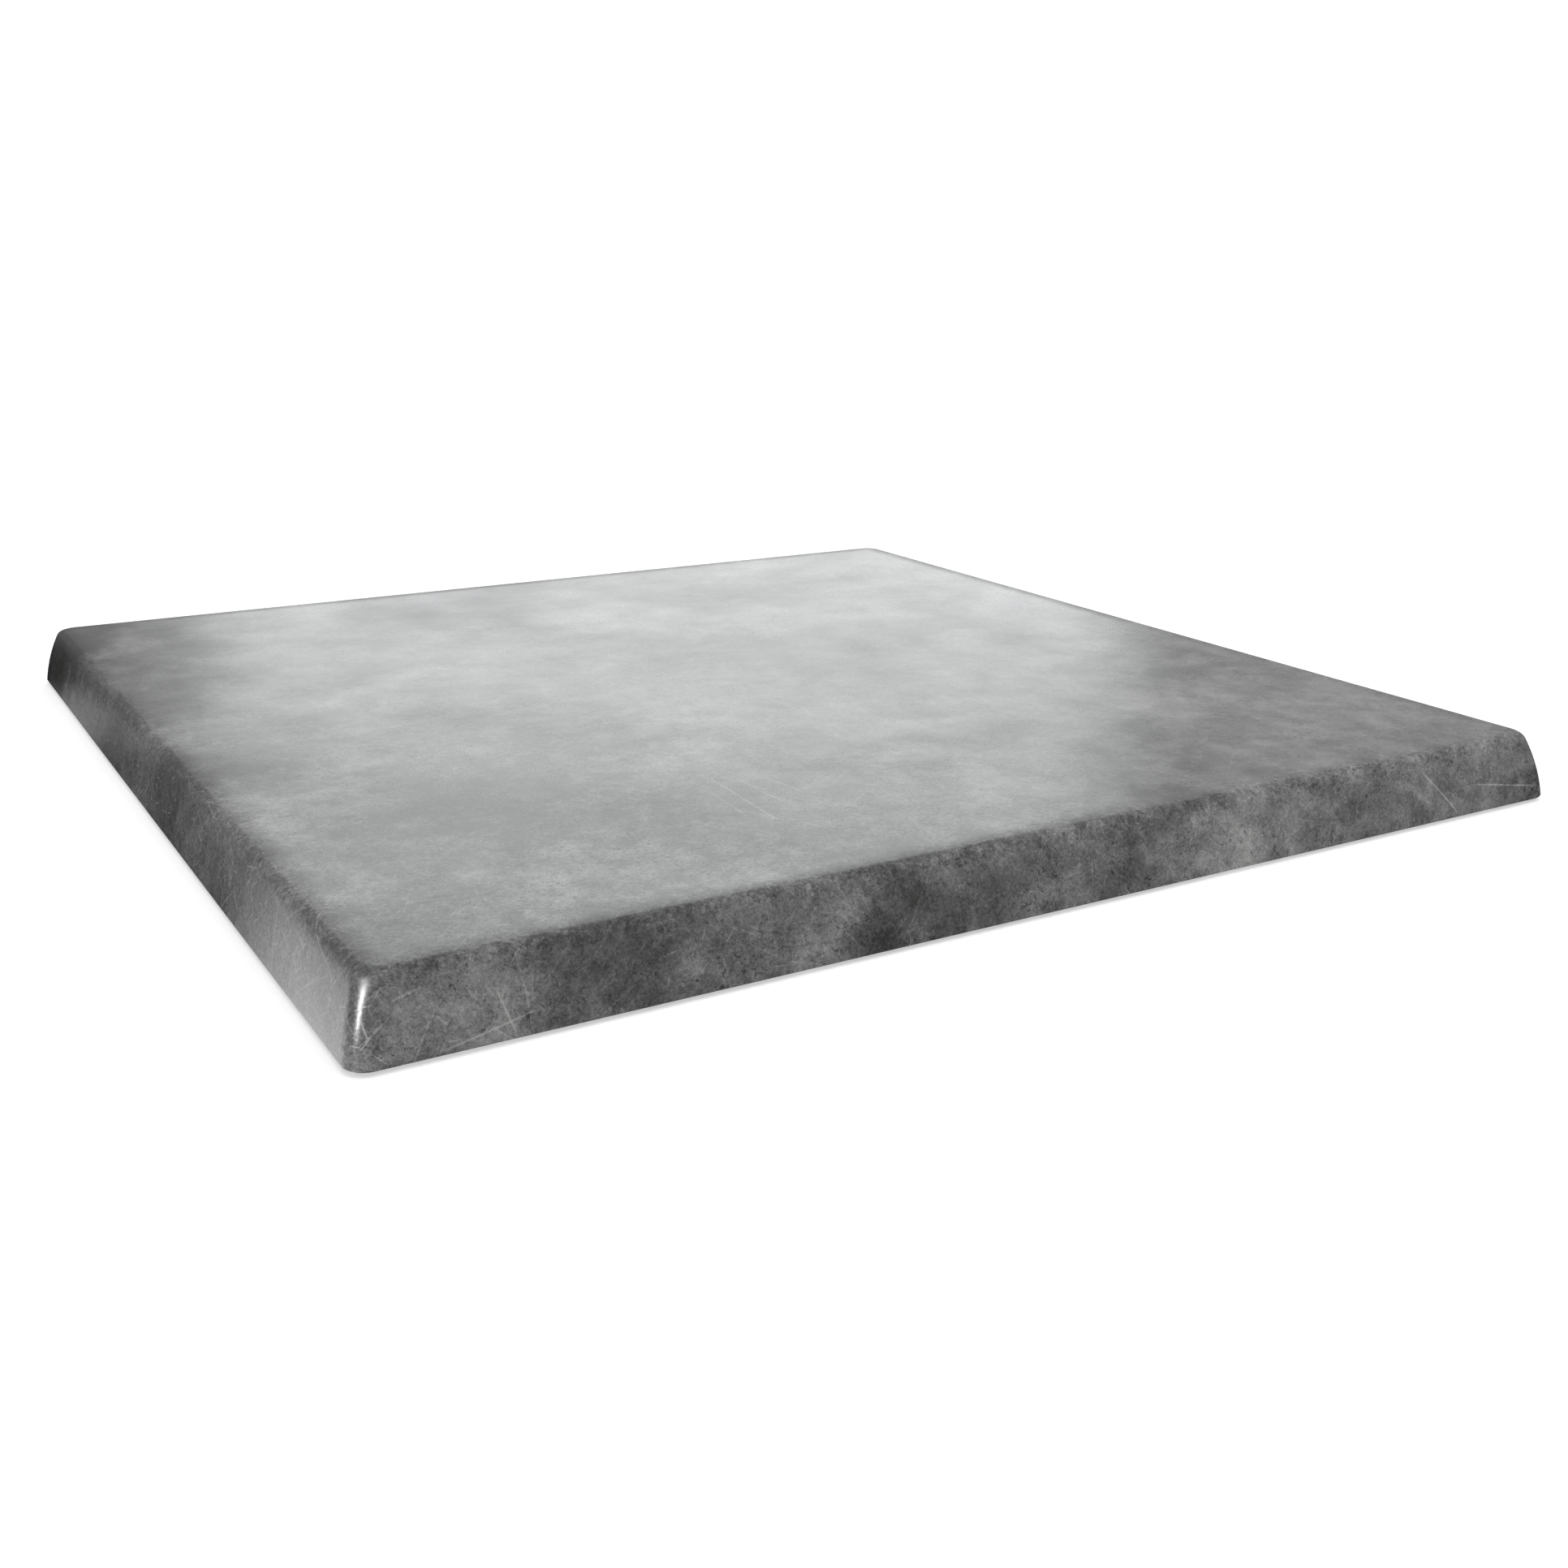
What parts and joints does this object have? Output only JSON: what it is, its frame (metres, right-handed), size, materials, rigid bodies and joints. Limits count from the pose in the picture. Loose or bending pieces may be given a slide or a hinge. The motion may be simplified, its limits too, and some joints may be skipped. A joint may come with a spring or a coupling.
{
  "type": "stone-look moulded table top slab",
  "caption": "Square slab with a deep edge that leans outwards, tight corners and worn grey stone decor, recessed underneath, with threaded inserts for a table base and stacking pads at its corners.",
  "frame": {"origin": "centre of the footprint, on the plane of the stacking pads' feet", "axes": "+Z out of the worktop; X and Y along the square's sides"},
  "size_m": [0.6, 0.6, 0.0335],
  "materials": {
    "stone_decor": "satin",
    "pressed_wood_core": "matte",
    "backing_film": "matte",
    "insert_brass": "satin",
    "pad_elastomer": "matte"
  },
  "bodies": {
    "root": {"decor_sheet": "stone_decor", "core_board": "pressed_wood_core", "backing_film": "backing_film", "threaded_insert_front_left": "insert_brass", "threaded_insert_front_right": "insert_brass", "threaded_insert_back_left": "insert_brass", "threaded_insert_back_right": "insert_brass", "stacking_pad_front_left": "pad_elastomer", "stacking_pad_front_right": "pad_elastomer", "stacking_pad_back_left": "pad_elastomer", "stacking_pad_back_right": "pad_elastomer"}
  },
  "joints": []
}
